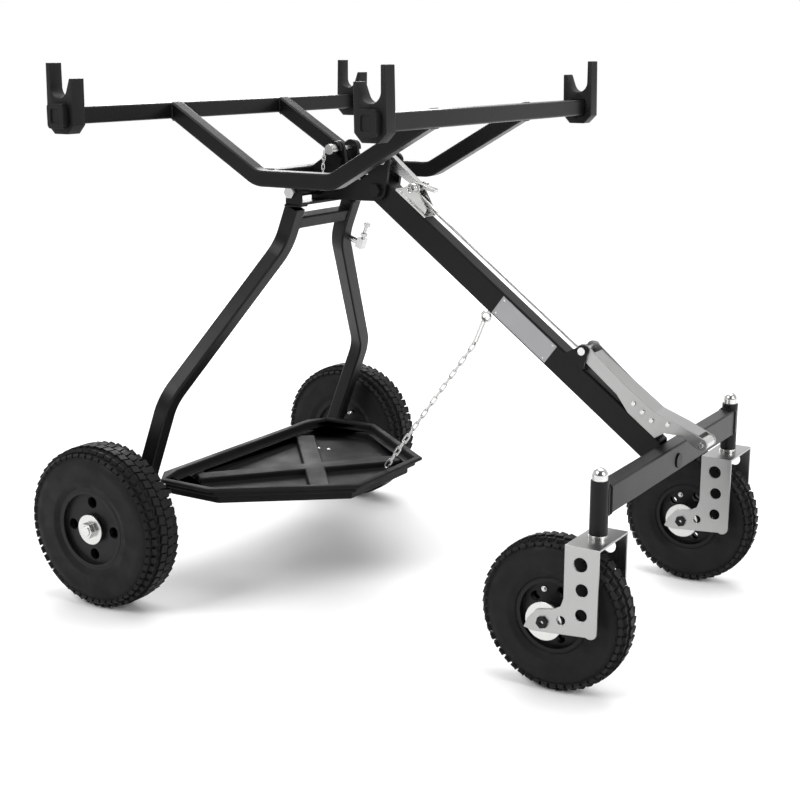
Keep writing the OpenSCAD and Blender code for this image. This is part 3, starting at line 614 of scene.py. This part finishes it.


# ---- painted shade in the axle sockets ----
# Painted shade: on the outside of each cheek, a black hexagon ring, drilled hollow, stands where the
# hexagonal socket at the caster axle's end lies dark in shade.
def hexagon(name, radius, bore, y0, y1, mat):
    """A hexagon ring lying across Y, from y0 to y1."""
    verts, faces = [], []
    for i in range(6):
        a = math.radians(60 * i + 15)
        for r, y in ((radius, y0), (radius, y1), (bore, y1), (bore, y0)):
            verts.append((r * math.cos(a), y, r * math.sin(a)))
        for k in range(4):
            n, m = i * 4, (i + 1) % 6 * 4
            faces.append((n + k, n + (k + 1) % 4, m + (k + 1) % 4, m + k))
    mesh = bpy.data.meshes.new(name)
    mesh.from_pydata(verts, [], faces)
    mesh.materials.append(mat)
    obj = bpy.data.objects.new(name, mesh)
    bpy.context.scene.collection.objects.link(obj)
    outward(obj)
    return obj


for s in ("left", "right"):
    at = wheel_centre("caster_rim_" + s)
    heads = []
    for y0, y1 in ((0.0469, 0.0506), (-0.0506, -0.0469)):
        # painted shade: a black nylon hexagon for the shaded socket
        head = hexagon("head", 0.0088, 0.0030, y0, y1, nylon)
        head.data.transform(Matrix.Translation(at))
        heads.append(head)
    head = join("caster_axle_painted_shade_hexes_" + s, heads)
    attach(head, "caster_fork_" + s)


# ---- rivets ----
# Small dome rivets hold the blank plate on the near side of the leg.
def along_leg(u, v, y=0.0):
    """A point in the leg's own frame, u down the leg from its hinge and v out of its top face."""
    slope = math.radians(36.9)
    hinge_lo, hinge_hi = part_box("leg_bush")
    x, z = (hinge_lo[0] + hinge_hi[0]) / 2, (hinge_lo[2] + hinge_hi[2]) / 2
    c, s = math.cos(slope), math.sin(slope)
    return Vector((x + u * c + v * s, y, z - u * s + v * c))


def dome(name, radius, height, mat):
    """A shallow dome facing -Y."""
    profile = [(0.0001, 0.0)] + [(radius * math.cos(t), -height * math.sin(t)) for t in
                                 [math.radians(a) for a in (0, 20, 40, 60, 80)]] + [(0.0001, -height)]
    return turned(name, profile, 20, mat)


rivets = []
for u in (0.276, 0.378):
    for v in (-0.0125, 0.0125):
        one = dome("plate_rivet", 0.0022, 0.0011, zinc)
        one.data.transform(Matrix.Translation(along_leg(u, v, -0.0158)))
        rivets.append(one)
plate_rivets = join("plate_rivets", rivets)
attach(plate_rivets, "front_leg")


# ---- tray screws and tyre valve ----
# Two dome-headed zinc screws go through the tray's floor into its right clip, and the right rear
# wheel carries its valve stem on the inner side.
screws = []
for x, y in ((-0.286, 0.127), (-0.267, 0.131)):
    one = dome("tray_screw", 0.0042, 0.0022, zinc)
    one.data.transform(Matrix.Translation((x, y, 0.1529)) @ Matrix.Rotation(-math.pi / 2, 4, "X"))
    screws.append(one)
screw_pair = join("tray_screws", screws)
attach(screw_pair, "tray")

valve = turned("tyre_valve", [(0.0001, 0.0), (0.0026, 0.0), (0.0026, 0.0065), (0.0034, 0.0072),
                              (0.0034, 0.0155), (0.0001, 0.0155)], 20, zinc)
valve.data.transform(Matrix.Translation((-0.342, 0.3070, 0.173)))
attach(valve, "rear_wheel_right")


# ---- pivot sleeves ----
# Black steel sleeves over the cradle's hinge bolt, between the hub's end plates and the cradle lugs.
bolt = middle("cradle_bolt")
sleeves = []
for y0, y1 in ((0.0300, 0.0878), (-0.0878, -0.0300)):
    one = turned("sleeve", [(0.0054, y0), (0.0076, y0), (0.0082, y0 + 0.0006), (0.0082, y1 - 0.0006),
                            (0.0076, y1), (0.0054, y1)], 40, powder)
    one.data.transform(Matrix.Translation((bolt.x, 0, bolt.z)))
    sleeves.append(one)
sleeve = join("pivot_sleeves", sleeves)
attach(sleeve, "frame")
